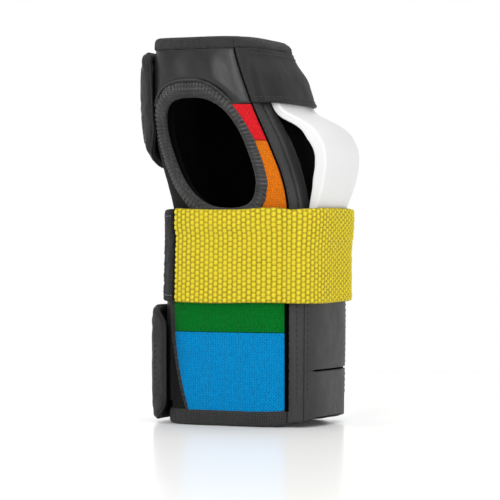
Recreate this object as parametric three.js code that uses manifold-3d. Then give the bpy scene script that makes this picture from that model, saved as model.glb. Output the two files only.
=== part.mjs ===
import * as THREE from 'three';
import Module from 'manifold-3d';

// Wrist guard for the left hand. Millimetres, +Z towards the fingers, +X palm, -Y thumb side.
// The sleeve is a stack of shells offset from one surface. An angle of 0 is the middle of the
// palm, 90 the little-finger side, 180 the back of the hand and 270 (or -90) the thumb side.

// Sleeve surface by height: z, palm face, back face, half width.
const STATIONS = [
  [0, 37.5, -40.5, 32],
  [62, 38.5, -41, 32],
  [100, 38.5, -40, 31.5],
  [116, 38, -39.5, 31.5],
  [130, 34.5, -43.5, 32],
  [147, 28.5, -48.5, 32],
  [166, 21.2, -50.8, 32],
  [181, 16.3, -50.8, 32],
  [192, 13, -50.4, 31.8],
  [204, 10.5, -49.2, 31],
];
const HEIGHT = 204;
const COLUMN_STEP = 11.25;

// Layers, as distances from the sleeve surface.
const LINER = [-6.3, -4.4];
const FOAM = [-4, -1.9];
const PANEL = [-1.5, 0];
const CLOTH = 1.5;
const GAP = 0.4;
const HEM_OUT = 0.8;

// Levels.
const HEM_HEIGHT = 8;
const BLUE_TOP = 49;
const STRAP_LOW = 64;
const STRAP_HIGH = 114.4;
const HAND_START = 115;
const ORANGE_TOP = 149;
const RED_TOP = 168;
const CROWN_TOP = HEIGHT - HEM_HEIGHT;
const SLIT = 29.4;

// Seam angles.
const SEAM_LOWER = 46;
const SEAM_UPPER = 50;
const WELT_INNER = 33;
const SIDE_EDGE = 122;
const HAND_EDGE = 130;
const CROWN_EDGE = 138;

// Thumb hole: an upright oval in the X-Z plane, sheared back with the hand by slope.
const HOLE = { x: -11.7, z: 143, half: 21.8, tall: 28.6, slope: 0.4, power: 2.6 };
const BINDING_WIDTH = 7.4;
const BINDING_IN = -6.4;
const BINDING_OUT = 1.9;
const BINDING_CLEARANCE = 0.5;

// Palm splint: z, outer face X, half width.
const SPLINT_PATH = [
  [26, 42.9, 13],
  [28, 42.8, 19],
  [32, 42.8, 20.6],
  [62, 43.3, 21],
  [85, 43.5, 21],
  [100, 44.2, 20.8],
  [108, 45.1, 20.6],
  [114, 46, 20.8],
  [123, 49.7, 21.6],
  [133.6, 52.4, 22.6],
  [142, 52.8, 23.2],
  [148, 51.3, 23.6],
  [154.5, 47.4, 24.2],
  [159, 42.2, 24.4],
  [163, 34.4, 24.2],
  [166.5, 26.6, 23.6],
  [172, 24.1, 22.6],
  [177, 22.8, 22],
  [179.5, 22.2, 19.8],
  [181, 21.8, 14],
];
const SPLINT_BOWED = 22;
const SPLINT_THICK = 4;
const SPLINT_CROWN = 1.8;

// Splint, cover and hook-and-loop tape on the back, with the heights of each pair of tapes.
const BACK_HALF = COLUMN_STEP;
const DORSAL_SPLINT = { low: 16, high: 110, from: 180 - BACK_HALF, to: 180 + BACK_HALF };
const DORSAL_COVER = { low: 12, high: 113, from: 150, to: 210 };
const THIN_CLOTH = 1;
const FOREARM_PATCH = [13, 54];
const WRIST_PATCH = [68, 110];
const HAND_PATCH = [142, 190];
const TAPE = 0.8;

// Closures on the back.
const STRAP_THICK = 3.4;
const STRAP_START = -124;
const STRAP_ROOT = 126;
const TAIL_END = 184;
const TAB_END = 235;
const FLAP_ROOT = 126;
const FOREARM_FLAP = { low: 3, high: 62.6, end: 230, thick: 4.6, bottom: 12.6, top: 12.6 };
const HAND_FLAP = { low: 136, high: 195.4, end: 224, thick: 5.6, bottom: 24, top: 12 };

const COLOURS = {
  leatherette_grey: 0x3a3a3c,
  crown_grey: 0x606066,
  hem_grey: 0x66666c,
  canvas_red: 0xe0303a,
  canvas_orange: 0xea8a20,
  canvas_green: 0x0c8a40,
  canvas_blue: 0x1484c8,
  webbing_yellow: 0xeedc34,
  binding_knit: 0x3c3c40,
  lining_black: 0x101012,
  foam_grey: 0x55565a,
  splint_white: 0xf4f4f2,
  splint_black: 0x18181a,
  tape_black: 0x141416,
};

// How far pieces stand off the sleeve.
const COVER_LIFT = 5.2;
const POCKET_LIFT = 5.8;
const CLOSE_LIFT = 0.5;
const DORSAL_COVER_LIFT = 2.5;
const STRAP_PALM_LIFT = { low: 6.6, high: 8.5 };
const STRAP_SIDE_LIFT = { low: 1.2, high: 2.5 };
const FOREARM_SIDE_LIFT = { finger: 1.8, thumb: 4.8 };
const HAND_LIFT = { back: 2.8, side: 0.8 };

// Stack of hook and loop on the back: inner face of each layer.
const LOOP_ON_COVER = 3.9;
const HOOK_ON_COVER = 5.1;
const TAIL_ON_COVER = 6.3;
const HOOK_ON_HAND = 1.6;

const radians = THREE.MathUtils.degToRad;
const smooth = (low, high, value) => THREE.MathUtils.smoothstep(value, low, high);
const blend = (from, to, share) => from + (to - from) * share;
const call = (value, ...args) => (typeof value === 'function' ? value(...args) : value);
const fromPalm = (t) => Math.abs(((t + 540) % 360) - 180);
const fromBack = (t) => 180 - fromPalm(t);

function section(z) {
  const last = STATIONS.length - 1;
  let i = 1;
  while (i < last && z > STATIONS[i][0]) i += 1;
  const [z0, palm0, back0, half0] = STATIONS[i - 1];
  const [z1, palm1, back1, half1] = STATIONS[i];
  const share = (z - z0) / (z1 - z0);
  const palm = blend(palm0, palm1, share);
  const back = blend(back0, back1, share);
  return { centre: (palm + back) / 2, deep: (palm - back) / 2, half: blend(half0, half1, share) };
}

// A point of the sleeve at height z and angle t, moved out along the surface's level normal.
function skin(z, t, offset) {
  const { centre, deep, half } = section(z);
  const c = Math.cos(radians(t));
  const s = Math.sin(radians(t));
  const x = centre + deep * Math.sign(c) * Math.sqrt(Math.abs(c));
  const y = half * Math.sign(s) * Math.sqrt(Math.abs(s));
  const nx = (Math.sign(c) * Math.abs(c) ** 1.5) / deep;
  const ny = (Math.sign(s) * Math.abs(s) ** 1.5) / half;
  const size = Math.hypot(nx, ny);
  return [x + (offset * nx) / size, y + (offset * ny) / size, z];
}

// The angle of the thumb-side surface point at X.
function thumbSideAngle(z, x) {
  const { centre, deep } = section(z);
  const reach = THREE.MathUtils.clamp((x - centre) / deep, -0.98, 0.98);
  return -THREE.MathUtils.radToDeg(Math.acos(Math.sign(reach) * reach * reach));
}

function closedGeometry(points, faces) {
  let volume = 0;
  for (const [a, b, c] of faces) {
    const [p, q, r] = [points[a], points[b], points[c]];
    volume += p[0] * (q[1] * r[2] - q[2] * r[1]);
    volume += p[1] * (q[2] * r[0] - q[0] * r[2]);
    volume += p[2] * (q[0] * r[1] - q[1] * r[0]);
  }
  const ordered = volume < 0 ? faces.map(([a, b, c]) => [a, c, b]) : faces;
  const geometry = new THREE.BufferGeometry();
  geometry.setAttribute('position', new THREE.Float32BufferAttribute(points.flat(), 3));
  geometry.setIndex(ordered.flat());
  return geometry;
}

// A solid between two grids of points, one inside and one outside.
function gridSolid(inside, outside, ring) {
  const rows = inside.length;
  const cols = inside[0].length;
  const points = [...inside.flat(), ...outside.flat()];
  const at = (layer, i, j) => layer * rows * cols + i * cols + (j % cols);
  const faces = [];
  const quad = (a, b, c, d) => faces.push([a, b, c], [a, c, d]);
  const spans = ring ? cols : cols - 1;
  for (let i = 0; i < rows - 1; i += 1) {
    for (let j = 0; j < spans; j += 1) {
      quad(at(1, i, j), at(1, i, j + 1), at(1, i + 1, j + 1), at(1, i + 1, j));
      quad(at(0, i, j), at(0, i + 1, j), at(0, i + 1, j + 1), at(0, i, j + 1));
    }
    if (!ring) {
      const e = cols - 1;
      quad(at(0, i, 0), at(1, i, 0), at(1, i + 1, 0), at(0, i + 1, 0));
      quad(at(0, i, e), at(0, i + 1, e), at(1, i + 1, e), at(1, i, e));
    }
  }
  for (let j = 0; j < spans; j += 1) {
    const e = rows - 1;
    quad(at(0, 0, j), at(0, 0, j + 1), at(1, 0, j + 1), at(1, 0, j));
    quad(at(0, e, j), at(1, e, j), at(1, e, j + 1), at(0, e, j + 1));
  }
  return closedGeometry(points, faces);
}

function columnsBetween(from, to, extra = []) {
  const inner = [];
  const first = Math.ceil((from + 1.5) / COLUMN_STEP);
  for (let k = first; k * COLUMN_STEP < to - 1.5; k += 1) inner.push(k * COLUMN_STEP);
  const clear = inner.filter((t) => extra.every((e) => Math.abs(e - t) > 1));
  return [from, ...[...clear, ...extra].sort((a, b) => a - b), to];
}

// A curved sheet of the sleeve: heights low to high, angles from to to, between two offsets.
function sheet({ low, high, from, to, inner, outer, extra, rows }) {
  const ring = from === undefined;
  const cols = ring
    ? Array.from({ length: 360 / COLUMN_STEP }, (_, k) => k * COLUMN_STEP)
    : columnsBetween(from, to, extra);
  const levels = [];
  if (rows) {
    for (let i = 0; i <= rows; i += 1) levels.push(i / rows);
  } else {
    const between = STATIONS.map((row) => row[0]).filter((z) => z > low + 1 && z < high - 1);
    for (const z of [low, ...between, high]) levels.push((z - low) / (high - low));
  }
  const grid = (offset) => levels.map((v) => cols.map((t) => {
    const z = blend(call(low, t), call(high, t), v);
    return skin(z, t, call(offset, t, z));
  }));
  return gridSolid(grid(inner), grid(outer), ring);
}

const wasm = await Module();
wasm.setup();

function toManifold(geometry) {
  return new wasm.Manifold(new wasm.Mesh({
    numProp: 3,
    vertProperties: new Float32Array(geometry.getAttribute('position').array),
    triVerts: new Uint32Array(geometry.getIndex().array),
  }));
}

function subtract(geometry, cutter) {
  const mesh = toManifold(geometry).subtract(cutter).getMesh();
  const cut = new THREE.BufferGeometry();
  cut.setAttribute('position', new THREE.Float32BufferAttribute([...mesh.vertProperties], 3));
  cut.setIndex([...mesh.triVerts]);
  return cut;
}

// One step of the thumb hole's outline, widened by `grow`: a point on the sleeve surface, the
// direction across the binding and the surface normal.
function holeStation(turn, grow) {
  const c = Math.cos(turn);
  const s = Math.sin(turn);
  const across = (HOLE.half + grow) * Math.sign(c) * Math.abs(c) ** (2 / HOLE.power);
  const along = (HOLE.tall + grow) * Math.sign(s) * Math.abs(s) ** (2 / HOLE.power);
  const x = HOLE.x + across - along * HOLE.slope;
  const z = HOLE.z + along;
  const t = thumbSideAngle(z, x);
  const point = new THREE.Vector3(...skin(z, t, 0));
  const normal = new THREE.Vector3(...skin(z, t, 1)).sub(point);
  return { point, normal };
}

function holeRing(count, grow) {
  const stations = [];
  for (let k = 0; k < count; k += 1) {
    stations.push(holeStation(((k + 0.5) / count) * Math.PI * 2, grow));
  }
  return stations.map(({ point, normal }, k) => {
    const next = stations[(k + 1) % count].point;
    const previous = stations[(k + count - 1) % count].point;
    const across = next.clone().sub(previous).cross(normal).normalize();
    const square = across.clone().cross(next.clone().sub(previous)).normalize();
    const side = across.dot(point.clone().sub(new THREE.Vector3(HOLE.x, point.y, HOLE.z)));
    if (side < 0) across.negate();
    if (square.dot(normal) < 0) square.negate();
    return { point, across, normal: square };
  });
}

function bindingGeometry() {
  const ring = holeRing(36, BINDING_WIDTH / 2);
  const middle = (BINDING_IN + BINDING_OUT) / 2;
  const deep = (BINDING_OUT - BINDING_IN) / 2;
  const edge = 10;
  const points = [];
  for (const { point, across, normal } of ring) {
    for (let j = 0; j < edge; j += 1) {
      const a = ((j + 0.5) / edge) * Math.PI * 2;
      const w = (BINDING_WIDTH / 2) * Math.sign(Math.cos(a)) * Math.abs(Math.cos(a)) ** 0.7;
      const d = middle + deep * Math.sign(Math.sin(a)) * Math.abs(Math.sin(a)) ** 0.7;
      const p = point.clone().addScaledVector(across, w).addScaledVector(normal, d);
      points.push(p.toArray());
    }
  }
  const faces = [];
  for (let i = 0; i < ring.length; i += 1) {
    for (let j = 0; j < edge; j += 1) {
      const a = i * edge + j;
      const b = i * edge + ((j + 1) % edge);
      const c = ((i + 1) % ring.length) * edge + ((j + 1) % edge);
      const d = ((i + 1) % ring.length) * edge + j;
      faces.push([a, b, c], [a, c, d]);
    }
  }
  return closedGeometry(points, faces);
}

// The plug that the binding fills, cut out of every layer of the sleeve.
function holeCutter() {
  const ring = holeRing(36, BINDING_WIDTH / 2);
  const count = ring.length;
  const reach = BINDING_WIDTH / 2 + BINDING_CLEARANCE;
  const deep = -12;
  const high = 8;
  const points = [];
  for (const offset of [deep, high]) {
    for (const { point, across, normal } of ring) {
      const p = point.clone().addScaledVector(across, reach).addScaledVector(normal, offset);
      points.push(p.toArray());
    }
  }
  const middle = skin(HOLE.z, thumbSideAngle(HOLE.z, HOLE.x), 0);
  points.push([middle[0], middle[1] - deep, middle[2]]);
  points.push([middle[0], middle[1] - high, middle[2]]);
  const faces = [];
  for (let k = 0; k < count; k += 1) {
    const n = (k + 1) % count;
    faces.push([k, n, count + n], [k, count + n, count + k]);
    faces.push([n, k, count * 2], [count + k, count + n, count * 2 + 1]);
  }
  return toManifold(closedGeometry(points, faces));
}

// A crowned bar along a path in the X-Z plane.
function splintGeometry(path, thick, crown) {
  const shares = [-1, -0.96, -0.8, -0.4, 0, 0.4, 0.8, 0.96, 1];
  const inside = [];
  const outside = [];
  path.forEach(([z, x, half], i) => {
    const before = path[Math.max(i - 1, 0)];
    const after = path[Math.min(i + 1, path.length - 1)];
    const run = new THREE.Vector2(after[1] - before[1], after[0] - before[0]).normalize();
    const normal = [run.y, -run.x];
    const row = (depth) => shares.map((share) => {
      const edge = Math.abs(share) === 1 ? 0.5 : 0;
      const bow = crown * share * share * Math.min(half / SPLINT_BOWED, 1);
      const d = -bow - blend(depth, thick / 2, edge);
      return [x + normal[0] * d, share * half, z + normal[1] * d];
    });
    outside.push(row(0));
    inside.push(row(thick));
  });
  return gridSolid(inside, outside, false);
}

const group = new THREE.Group();
group.name = 'wrist_guard';

function add(name, slot, geometry) {
  geometry.computeVertexNormals();
  const material = new THREE.MeshStandardMaterial({ color: COLOURS[slot], roughness: 0.8 });
  material.name = slot;
  const mesh = new THREE.Mesh(geometry, material);
  mesh.name = name;
  group.add(mesh);
  return mesh;
}

// How far the lower palm cover and the upper pocket stand off the sleeve.
const coverLift = (t) => blend(COVER_LIFT, CLOSE_LIFT, smooth(35, 45, fromPalm(t)));
const pocketLift = (t, z) => {
  const tall = smooth(150, 166, z) * blend(1, 0.1, smooth(181, CROWN_TOP, z));
  return blend(CLOSE_LIFT, POCKET_LIFT, tall * (1 - smooth(41, 49, fromPalm(t))));
};
const plus = (lift, amount) => (t, z) => lift(t, z) + amount;

const cutter = holeCutter();
const full = { low: HEM_HEIGHT + GAP, high: CROWN_TOP - GAP };
const lower = { low: HEM_HEIGHT + GAP, high: STRAP_LOW - GAP };
const upper = { low: HAND_START + GAP, high: CROWN_TOP - GAP };

// Sleeve.
add('liner', 'lining_black', subtract(sheet({ ...full, inner: LINER[0], outer: LINER[1] }), cutter));
add('foam_core', 'foam_grey', subtract(sheet({ ...full, inner: FOAM[0], outer: FOAM[1] }), cutter));
add('forearm_hem', 'hem_grey', sheet({
  low: 0, high: HEM_HEIGHT, inner: LINER[0], outer: plus(coverLift, HEM_OUT),
}));
add('hand_hem', 'hem_grey', sheet({
  low: CROWN_TOP, high: HEIGHT, inner: LINER[0], outer: plus(pocketLift, HEM_OUT),
}));

const panelSheet = (low, high, from, to) => sheet({
  low, high, from, to, inner: PANEL[0], outer: PANEL[1],
});
add('palm_panel_lower', 'lining_black', panelSheet(lower.low, lower.high, -SEAM_LOWER, SEAM_LOWER));
add('palm_panel_upper', 'lining_black', panelSheet(upper.low, upper.high, -SEAM_UPPER, SEAM_UPPER));
add('wrist_panel', 'lining_black', subtract(
  sheet({ low: STRAP_LOW, high: HAND_START, inner: PANEL[0], outer: PANEL[1] }), cutter));

// Side panels: the same colour bands on the thumb side and the little-finger side.
const bands = [
  ['blue', lower.low, BLUE_TOP - GAP / 2, SEAM_LOWER, SIDE_EDGE, SIDE_EDGE],
  ['green', BLUE_TOP + GAP / 2, lower.high, SEAM_LOWER, SIDE_EDGE, SIDE_EDGE],
  ['orange', upper.low, ORANGE_TOP - GAP / 2, SEAM_UPPER, 88, HAND_EDGE],
  ['red', ORANGE_TOP + GAP / 2, RED_TOP - GAP / 2, SEAM_UPPER, 84, HAND_EDGE],
];
for (const [colour, low, high, seam, thumbEdge, fingerEdge] of bands) {
  const start = seam + 0.6;
  const thumb = panelSheet(low, high, -thumbEdge, -start);
  const cutHere = low > STRAP_HIGH;
  add(`radial_panel_${colour}`, `canvas_${colour}`, cutHere ? subtract(thumb, cutter) : thumb);
  add(`ulnar_panel_${colour}`, `canvas_${colour}`, panelSheet(low, high, start, fingerEdge));
}
add('radial_crown_panel', 'crown_grey', subtract(
  panelSheet(RED_TOP + GAP / 2, upper.high, -CROWN_EDGE, -SEAM_UPPER - 0.6), cutter));
add('ulnar_crown_panel', 'crown_grey',
  panelSheet(RED_TOP + GAP / 2, upper.high, SEAM_UPPER + 0.6, HAND_EDGE));

// Back panels.
add('dorsal_panel_forearm', 'lining_black',
  panelSheet(lower.low, lower.high, SIDE_EDGE + 0.6, 360 - SIDE_EDGE - 0.6));
add('dorsal_panel_wrist', 'lining_black', subtract(
  panelSheet(upper.low, RED_TOP - GAP / 2, HAND_EDGE + 0.6, 264), cutter));
add('dorsal_panel_hand', 'lining_black',
  panelSheet(RED_TOP + GAP / 2, upper.high, HAND_EDGE + 0.6, 360 - CROWN_EDGE - 0.6));

add('thumb_binding', 'binding_knit', bindingGeometry());
add('radial_edge_binding', 'hem_grey', sheet({
  ...lower, from: -SIDE_EDGE - 0.3, to: -SIDE_EDGE + 3, inner: GAP, outer: GAP + 1.4,
}));

// Palm covers, pocket and welts.
const palmSheet = (low, high, from, to, lift, rows) => sheet({
  low, high, from, to, inner: lift, outer: plus(lift, CLOTH), rows,
});
add('palm_cover_heel', 'leatherette_grey',
  palmSheet(lower.low, SLIT - GAP, -WELT_INNER, WELT_INNER, coverLift));
add('palm_cover_wrist', 'leatherette_grey',
  palmSheet(SLIT + GAP, lower.high, -WELT_INNER, WELT_INNER, coverLift));
add('palm_pocket_hand', 'leatherette_grey',
  palmSheet(RED_TOP - GAP, upper.high, -WELT_INNER, WELT_INNER, pocketLift, 5));
for (const [side, sign] of [['radial', -1], ['ulnar', 1]]) {
  const angles = (inner, outer) => (sign < 0 ? [-outer, -inner] : [inner, outer]);
  const inner = WELT_INNER + 0.8;
  add(`${side}_welt_lower`, 'hem_grey',
    palmSheet(lower.low, lower.high, ...angles(inner, SEAM_LOWER), coverLift));
  add(`${side}_welt_upper`, 'hem_grey',
    palmSheet(upper.low, upper.high, ...angles(inner, SEAM_UPPER), pocketLift, 12));
}

// Splints.
add('palm_splint', 'splint_white', splintGeometry(SPLINT_PATH, SPLINT_THICK, SPLINT_CROWN));
const backLift = (t) => blend(DORSAL_COVER_LIFT, GAP, smooth(18, 30, fromBack(t)));
add('dorsal_splint', 'splint_black', sheet({
  ...DORSAL_SPLINT, inner: 0.5, outer: 2.1,
}));
add('dorsal_cover', 'leatherette_grey', sheet({
  ...DORSAL_COVER, inner: backLift, outer: plus(backLift, THIN_CLOTH),
}));

// Loop patches.
const patch = (low, high, inner) => sheet({
  low, high, from: 180 - BACK_HALF, to: 180 + BACK_HALF, inner, outer: inner + TAPE,
});
add('forearm_loop_patch', 'tape_black', patch(...FOREARM_PATCH, LOOP_ON_COVER));
add('wrist_loop_patch', 'tape_black', patch(...WRIST_PATCH, LOOP_ON_COVER));
add('hand_loop_patch', 'tape_black', patch(...HAND_PATCH, GAP));

// Wrist strap: over the splint on the palm, close to the sleeve at the sides.
const strapLift = (t, z) => {
  const palm = blend(STRAP_PALM_LIFT.low, STRAP_PALM_LIFT.high, smooth(85, STRAP_HIGH, z));
  const side = blend(STRAP_SIDE_LIFT.low, STRAP_SIDE_LIFT.high, smooth(98, 106, z));
  const overPalm = 1 - smooth(40, 58, fromPalm(t));
  const overBack = 1 - (t > 180 ? smooth(12, 36, fromBack(t)) : smooth(23, 42, fromBack(t)));
  return side + (palm - side) * overPalm + (TAIL_ON_COVER - side) * overBack;
};
const strapSheet = (from, to) => sheet({
  low: STRAP_LOW + 0.4, high: STRAP_HIGH, from, to, rows: 4,
  inner: strapLift, outer: plus(strapLift, STRAP_THICK),
});
add('wrist_strap', 'webbing_yellow', strapSheet(STRAP_START, STRAP_ROOT));
add('strap_tail', 'webbing_yellow', strapSheet(STRAP_ROOT + 0.6, TAIL_END));
add('strap_tab', 'tape_black', strapSheet(TAIL_END + 0.6, TAB_END));
add('strap_hook_patch', 'tape_black', patch(...WRIST_PATCH, HOOK_ON_COVER));

// Hand and forearm flaps, with rounded free corners.
function arcLength(z, from, to) {
  const steps = 40;
  let total = 0;
  for (let k = 0; k < steps; k += 1) {
    const a = skin(z, blend(from, to, k / steps), 0);
    const b = skin(z, blend(from, to, (k + 1) / steps), 0);
    total += Math.hypot(b[0] - a[0], b[1] - a[1]);
  }
  return total;
}

function cornerCut(flap, radius, t) {
  const reach = arcLength((flap.low + flap.high) / 2, t, flap.end);
  if (reach >= radius) return 0;
  return radius - Math.sqrt(radius * radius - (radius - reach) ** 2);
}

function flapSheet(flap, lift) {
  return sheet({
    low: (t) => flap.low + cornerCut(flap, flap.bottom, t),
    high: (t) => flap.high - cornerCut(flap, flap.top, t),
    from: FLAP_ROOT,
    to: flap.end,
    extra: [flap.end - 1, flap.end - 2.6, flap.end - 5, flap.end - 8.5, flap.end - 14],
    rows: 5,
    inner: lift,
    outer: plus(lift, flap.thick),
  });
}
const forearmLift = (t) => {
  const side = t < 180 ? FOREARM_SIDE_LIFT.finger : FOREARM_SIDE_LIFT.thumb;
  return blend(TAIL_ON_COVER, side, smooth(27, 48, fromBack(t)));
};
const handLift = (t) => blend(HAND_LIFT.back, HAND_LIFT.side, smooth(24, 46, fromBack(t)));
add('forearm_flap', 'hem_grey', flapSheet(FOREARM_FLAP, forearmLift));
add('forearm_hook_patch', 'tape_black', patch(...FOREARM_PATCH, HOOK_ON_COVER));
add('hand_flap', 'hem_grey', flapSheet(HAND_FLAP, handLift));
add('hand_hook_patch', 'tape_black', patch(...HAND_PATCH, HOOK_ON_HAND));

// Origin: middle of the outline, at the bottom hem.
group.updateMatrixWorld(true);
const middle = new THREE.Box3().setFromObject(group, true).getCenter(new THREE.Vector3());
group.position.set(-middle.x, -middle.y, 0);

export default group;
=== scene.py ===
import math
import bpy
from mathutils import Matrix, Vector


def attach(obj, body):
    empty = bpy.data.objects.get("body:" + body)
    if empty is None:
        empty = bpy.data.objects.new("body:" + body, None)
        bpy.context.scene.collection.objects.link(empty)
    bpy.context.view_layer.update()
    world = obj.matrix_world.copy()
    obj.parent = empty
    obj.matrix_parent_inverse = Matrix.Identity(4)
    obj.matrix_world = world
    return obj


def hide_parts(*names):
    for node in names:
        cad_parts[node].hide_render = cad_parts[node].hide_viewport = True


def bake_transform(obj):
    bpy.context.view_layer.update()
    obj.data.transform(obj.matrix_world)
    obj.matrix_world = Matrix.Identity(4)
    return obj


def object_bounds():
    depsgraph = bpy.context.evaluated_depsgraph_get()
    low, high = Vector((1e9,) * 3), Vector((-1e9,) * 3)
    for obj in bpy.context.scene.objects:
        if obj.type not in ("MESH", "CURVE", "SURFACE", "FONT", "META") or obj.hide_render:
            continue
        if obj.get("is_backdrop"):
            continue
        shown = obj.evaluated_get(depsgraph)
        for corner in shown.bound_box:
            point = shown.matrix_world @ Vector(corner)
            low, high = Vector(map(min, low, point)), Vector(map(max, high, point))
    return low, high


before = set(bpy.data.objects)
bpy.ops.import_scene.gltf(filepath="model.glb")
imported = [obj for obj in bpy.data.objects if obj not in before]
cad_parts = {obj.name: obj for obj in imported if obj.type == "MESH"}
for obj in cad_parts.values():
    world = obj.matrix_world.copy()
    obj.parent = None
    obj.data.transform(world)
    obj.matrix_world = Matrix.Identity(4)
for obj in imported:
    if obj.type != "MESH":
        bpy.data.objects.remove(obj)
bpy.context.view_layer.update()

from types import SimpleNamespace

import bmesh
import bpy
import numpy as np
from mathutils import Vector
from mathutils.bvhtree import BVHTree


# ---------------- small sums
def smooth(low, high, value):
    u = np.clip((np.asarray(value, float) - low) / (high - low), 0, 1)
    return u * u * (3 - 2 * u)


def bell(offset, width):
    return np.exp(-(offset / width) ** 2)


def swell(edge, spread):
    """From 0 at an edge to 1 well inside it."""
    return 1 - np.exp(-edge / spread)


def roll(distance, radius):
    """The height of a rounded edge, from 0 to 1."""
    u = np.clip(distance / radius, 0, 1)
    return np.sqrt(np.clip(1 - (1 - u) ** 2, 0, 1))


def power(value, exponent):
    """A power of the size of a value, with its sign kept."""
    return np.sign(value) * np.abs(value) ** exponent


def eased(values, spread, reach):
    """A row of values smoothed by a bell; spread and reach are in samples."""
    kernel = np.exp(-0.5 * (np.arange(-reach, reach + 1) / spread) ** 2)
    padded = np.pad(values, reach, mode="reflect", reflect_type="odd")
    return np.convolve(padded, kernel / kernel.sum(), mode="valid")


def lengths(line):
    """The distance along a line at each of its points."""
    return np.concatenate([[0], np.cumsum(np.linalg.norm(np.diff(line, axis=0), axis=1))])


def along(places, at, line):
    """A line's points at the given places, when its own points are at the places at."""
    return np.stack([np.interp(places, at, column) for column in line.T], -1)


def call(value, *args):
    return value(*args) if callable(value) else value


def bump_noise(points, scale, seed, octaves=3):
    """Smooth seeded noise from about -1 to 1; scale in millimetres."""
    rng = np.random.RandomState(seed)
    total, waves = np.zeros(points.shape[:-1]), 6
    shares = 0.5 ** np.arange(octaves)
    for share in shares:
        for _ in range(waves):
            direction = rng.normal(size=3)
            direction /= np.linalg.norm(direction)
            rate = 2 * np.pi / (scale * share) * rng.uniform(0.6, 1.3)
            total += share * np.sin(points @ direction * rate + rng.uniform(0, 6.28))
    return total / waves ** 0.5 / shares.sum()


# ---------------- sleeve surface, in millimetres
# Angle 0 is the middle of the palm, 90 the little-finger side, 180 the back, -90 the thumb side.
SHIFT = 3.2
# height, reach to the palm, reach to the back, half width
STATIONS = np.array([
    [-10, 37.2, -40.3, 32], [0, 37.5, -40.5, 32], [62, 38.5, -41, 32], [100, 38.5, -40, 31.5],
    [116, 38, -39.5, 31.5], [130, 34.5, -43.5, 32], [147, 28.5, -48.5, 32], [166, 21.2, -50.8, 32],
    [181, 16.3, -50.8, 32], [192, 13, -50.4, 31.8], [204, 10.5, -49.2, 31], [214, 8.5, -48.2, 30.4]])
LEVELS = np.arange(-9, 213, 0.5)
PALM, BACK, HALF = (eased(np.interp(LEVELS, STATIONS[:, 0], STATIONS[:, k]), 7, 16) for k in (1, 2, 3))
# how far the cloth's edge rises at the palm's bottom and at the back's top
PALM_RISE, BACK_RISE = 4.2, 0.8


def section(z):
    palm, back = np.interp(z, LEVELS, PALM), np.interp(z, LEVELS, BACK)
    return (palm + back) / 2, (palm - back) / 2, np.interp(z, LEVELS, HALF)


def wrapped(t):
    """Degrees from the middle of the palm, either way round."""
    return np.abs((np.asarray(t, float) + 540) % 360 - 180)


def skin(z, t, offset):
    """Points of the surface at height z and angle t, moved out by offset."""
    z, t, offset = np.broadcast_arrays(*(np.asarray(v, float) for v in (z, t, offset)))
    centre, deep, half = section(z)
    c, s = np.cos(np.radians(t)), np.sin(np.radians(t))
    nx, ny = power(c, 1.5) / deep, power(s, 1.5) / half
    out = offset / np.hypot(nx, ny)
    w = wrapped(t)
    rise = PALM_RISE * np.clip(1 - (w - 12) / 64, 0, 1) ** 1.4 * np.clip(1 - z / 30, 0, 1.3)
    rise = rise + BACK_RISE * np.clip((w - 50) / 80, 0, 1) * np.clip((z - 120) / 84, 0, 1)
    x = centre + deep * power(c, 0.5) + out * nx + SHIFT
    return np.stack([x, half * power(s, 0.5) + out * ny, z + rise], -1)


def angle_at(points):
    """The surface angle of points."""
    centre, deep, half = section(points[..., 2])
    c, s = (points[..., 0] - SHIFT - centre) / deep, points[..., 1] / half
    return np.degrees(np.arctan2(power(s, 2), power(c, 2)))


def fine_angles(low, high):
    """Angles packed closely at the quarter turns, where the surface moves fastest with the angle."""
    u = np.linspace(-1, 1, 361)
    turns = np.unique(np.concatenate([90 * k + 45 * power(u, 2) for k in range(-3, 4)]))
    return turns[(turns >= low) & (turns <= high)]


FINE = fine_angles(-200, 260)
ARC = lengths(skin(40, FINE, 0)[:, :2])
ARC -= np.interp(0, FINE, ARC)


def arc(t):
    """Millimetres round the sleeve from the middle of the palm."""
    return np.interp(t, FINE, ARC)


def angle(run):
    return np.interp(run, ARC, FINE)


def angles_round(step):
    """A column of even steps round the whole sleeve: millimetres and angles."""
    start, end = arc([-180, 180])
    run = np.linspace(start, end, int((end - start) / step), endpoint=False)[:, None]
    return run, angle(run)


def added(name, points, faces):
    """A new object in the scene, its normals facing out."""
    data = bpy.data.meshes.new(name)
    data.from_pydata((points / 1000).tolist(), [], faces)
    data.validate()
    work = bmesh.new()
    work.from_mesh(data)
    bmesh.ops.recalc_face_normals(work, faces=work.faces)
    work.to_mesh(data)
    work.free()
    data.shade_smooth()
    piece = bpy.data.objects.new(name, data)
    bpy.context.scene.collection.objects.link(piece)
    return piece


def make(name, mesh, look, *nodes, body="sleeve", slot=None):
    """A visual piece of (points, faces) that replaces CAD nodes and rides a body."""
    piece = added(name, *mesh)
    piece.data.materials.append(MATERIALS[look])
    if body:
        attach(piece, body)
    if nodes:
        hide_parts(*nodes)
    lay_weave(piece)
    return piece


def lay_weave(piece):
    """Millimetre coordinates along and up the cloth, kept on the points so that they bend with it."""
    co = np.array([v.co[:] for v in piece.data.vertices]) * 1000
    turn = angle_at(co)
    if np.abs(turn).min() > 60:
        turn = turn % 360
    weave = np.stack([arc(turn), co[:, 2], np.hypot(co[:, 0], co[:, 1])], -1)
    held = piece.data.attributes.get("weave") or piece.data.attributes.new(
        "weave", "FLOAT_VECTOR", "POINT")
    held.data.foreach_set("vector", weave.astype(np.float32).ravel())


def paint(piece, name, values):
    held = piece.data.attributes.new(name, "FLOAT", "POINT")
    held.data.foreach_set("value", np.asarray(values, np.float32).ravel())


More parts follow.
